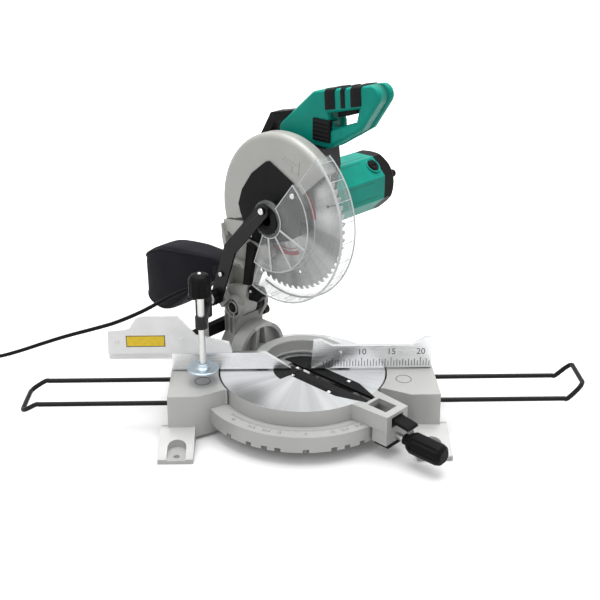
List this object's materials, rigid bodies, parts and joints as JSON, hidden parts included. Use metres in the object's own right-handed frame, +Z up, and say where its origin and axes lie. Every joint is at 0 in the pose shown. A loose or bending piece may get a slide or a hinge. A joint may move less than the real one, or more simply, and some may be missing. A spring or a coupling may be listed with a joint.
{
  "type": "compound mitre saw",
  "caption": "Compound mitre saw with a turning table, tilting arm and chopping head, clear blade guard, fences, work supports, clamp, dust bag and mains cord.",
  "frame": {"origin": "on the bench, under the axis that the table turns about, in the plane of the fence", "axes": "+X right along the fence, +Y away from the user, +Z up"},
  "size_m": [1.1849, 0.5201, 0.574],
  "materials": {
    "casting": "satin light grey paint",
    "guard_paint": "satin light grey paint",
    "table_metal": "machined cast aluminium",
    "fence_metal": "brushed aluminium",
    "white_plastic": "satin white",
    "steel": "plated steel",
    "black_paint": "satin black",
    "dark_casting": "dark grey paint",
    "zinc_plate": "bluish zinc plate",
    "black_plastic": "moulded black",
    "green_plastic": "satin teal green",
    "soft_rubber": "matt black",
    "bag_cloth": "woven black",
    "blade_steel": "ground steel",
    "clear_plastic": "clear polycarbonate",
    "copper_windings": "varnished windings",
    "carbon": "carbon and brass holder",
    "fan_plastic": "pale nylon"
  },
  "bodies": {
    "base": {"base_casting": "casting", "left_fence": "fence_metal", "right_fence": "fence_metal", "fence_bolts": "steel"},
    "sliding_fence": {"sliding_fence": "white_plastic"},
    "support_left": {"support_left": "black_paint"},
    "support_right": {"support_right": "black_paint"},
    "clamp_post": {"clamp_post": "steel", "clamp_arm": "dark_casting"},
    "clamp_screw": {"clamp_screw": "steel", "clamp_knob": "black_plastic", "clamp_foot": "zinc_plate"},
    "table": {"turntable": "table_metal", "kerf_boards": "black_plastic", "lock_plate": "black_paint", "table_bolt": "steel", "bevel_pivot_bolt": "steel", "bevel_lock_bolt": "steel", "cord_coil": "soft_rubber", "cord_tie": "black_plastic", "plug": "black_plastic"},
    "mitre_grip": {"mitre_screw": "steel", "mitre_grip": "black_plastic"},
    "mitre_lever": {"mitre_lever": "black_plastic"},
    "bevel_lever": {"bevel_lever": "black_plastic"},
    "bevel_arm": {"bevel_arm": "casting", "pivot_shaft": "steel", "return_spring": "steel", "link_stud": "steel", "link_knob": "black_plastic", "cord_gland": "soft_rubber", "cord_run": "soft_rubber"},
    "stop_pin": {"stop_pin": "black_plastic"},
    "head": {"upper_guard": "guard_paint", "centre_cover": "black_plastic", "gear_case": "black_plastic", "motor_housing": "green_plastic", "motor_end_cap": "black_plastic", "brush_caps": "black_plastic", "brushes": "carbon", "stator": "copper_windings", "bearings": "steel", "handle_left": "green_plastic", "handle_right": "green_plastic", "rubber_grip": "soft_rubber", "carry_handle": "black_plastic", "dust_chute": "black_plastic", "dust_bag": "bag_cloth"},
    "spindle_lock": {"spindle_lock": "black_plastic"},
    "trigger": {"trigger": "black_plastic"},
    "lock_button": {"lock_button": "black_plastic"},
    "blade": {"saw_blade": "blade_steel", "arbor": "steel", "flanges": "steel", "drive_gear": "steel"},
    "armature": {"armature": "copper_windings", "fan": "fan_plastic"},
    "lower_guard": {"lower_guard": "clear_plastic", "guard_hub": "black_plastic"},
    "link": {"link_bar": "black_paint"}
  },
  "joints": [
    {"name": "mitre_turn", "type": "hinge", "parent": "base", "child": "table", "pos_m": [0, 0, 0.08], "axis": [0, 0, 1], "range_deg": [-92, 2]},
    {"name": "bevel_tilt", "type": "hinge", "parent": "table", "child": "bevel_arm", "pos_m": [0, 0, 0.08], "axis": [0.7071, -0.7071, 0], "range_deg": [0, 8]},
    {"name": "head_chop", "type": "hinge", "parent": "bevel_arm", "child": "head", "pos_m": [-0.09192, 0.09192, 0.168], "axis": [-0.7071, -0.7071, 0], "range_deg": [-59, 0], "stiffness_Nm_per_rad": 6, "springref_deg": 108.86},
    {"name": "guard_swing", "type": "hinge", "parent": "head", "child": "lower_guard", "pos_m": [-0.05728, -0.00071, 0.35], "axis": [-0.7071, -0.7071, 0], "range_deg": [0, 131]},
    {"name": "link_swing", "type": "hinge", "parent": "bevel_arm", "child": "link", "pos_m": [-0.14566, 0.07778, 0.184], "axis": [-0.7071, -0.7071, 0], "range_deg": [-57.5, 0]},
    {"name": "blade_spin", "type": "hinge", "parent": "head", "child": "blade", "pos_m": [-0.02828, 0.02828, 0.35], "axis": [0.7071, 0.7071, 0], "continuous": true},
    {"name": "armature_spin", "type": "hinge", "parent": "head", "child": "armature", "pos_m": [0.05379, 0.08763, 0.36915], "axis": [0.7071, 0.7071, 0], "continuous": true},
    {"name": "mitre_grip_turn", "type": "hinge", "parent": "table", "child": "mitre_grip", "pos_m": [0.15203, -0.15203, 0.038], "axis": [0.7071, -0.7071, 0], "range_deg": [-90, 90]},
    {"name": "mitre_lever_press", "type": "hinge", "parent": "table", "child": "mitre_lever", "pos_m": [0.13364, -0.13364, 0.066], "axis": [-0.7071, -0.7071, 0], "range_deg": [-6, 0], "stiffness_Nm_per_rad": 2, "springref_deg": 8.59},
    {"name": "bevel_lever_swing", "type": "hinge", "parent": "table", "child": "bevel_lever", "pos_m": [-0.11314, 0.11314, 0.124], "axis": [0.7071, -0.7071, 0], "range_deg": [-20, 5]},
    {"name": "stop_pin_push", "type": "slide", "parent": "bevel_arm", "child": "stop_pin", "axis": [-0.7071, -0.7071, 0], "range_m": [0, 0.008]},
    {"name": "spindle_lock_press", "type": "slide", "parent": "head", "child": "spindle_lock", "axis": [0, 0, 1], "range_m": [0, 0.0045], "stiffness_N_per_m": 600, "springref_m": -0.004},
    {"name": "trigger_pull", "type": "slide", "parent": "head", "child": "trigger", "axis": [0, 0, 1], "range_m": [0, 0.003], "stiffness_N_per_m": 600, "springref_m": -0.004},
    {"name": "lock_button_press", "type": "slide", "parent": "head", "child": "lock_button", "axis": [0.7071, 0.7071, 0], "range_m": [0, 0.003], "stiffness_N_per_m": 600, "springref_m": -0.004},
    {"name": "fence_slide", "type": "slide", "parent": "base", "child": "sliding_fence", "axis": [1, 0, 0], "range_m": [0, 0.028]},
    {"name": "support_left_slide", "type": "slide", "parent": "base", "child": "support_left", "axis": [-1, 0, 0], "range_m": [-0.025, 0.01]},
    {"name": "support_right_slide", "type": "slide", "parent": "base", "child": "support_right", "axis": [1, 0, 0], "range_m": [-0.025, 0.01]},
    {"name": "clamp_swing", "type": "hinge", "parent": "base", "child": "clamp_post", "pos_m": [-0.166, 0.03, 0.19], "axis": [0, 0, 1], "range_deg": [-20, 20]},
    {"name": "clamp_travel", "type": "slide", "parent": "clamp_post", "child": "clamp_screw", "axis": [0, 0, 1], "range_m": [-0.021, 0.03]}
  ],
  "couplings": [
    {"joint": "guard_swing", "follows": "head_chop", "ratio": -2.2034},
    {"joint": "link_swing", "follows": "head_chop", "ratio": 0.961},
    {"joint": "armature_spin", "follows": "blade_spin", "ratio": -4}
  ]
}
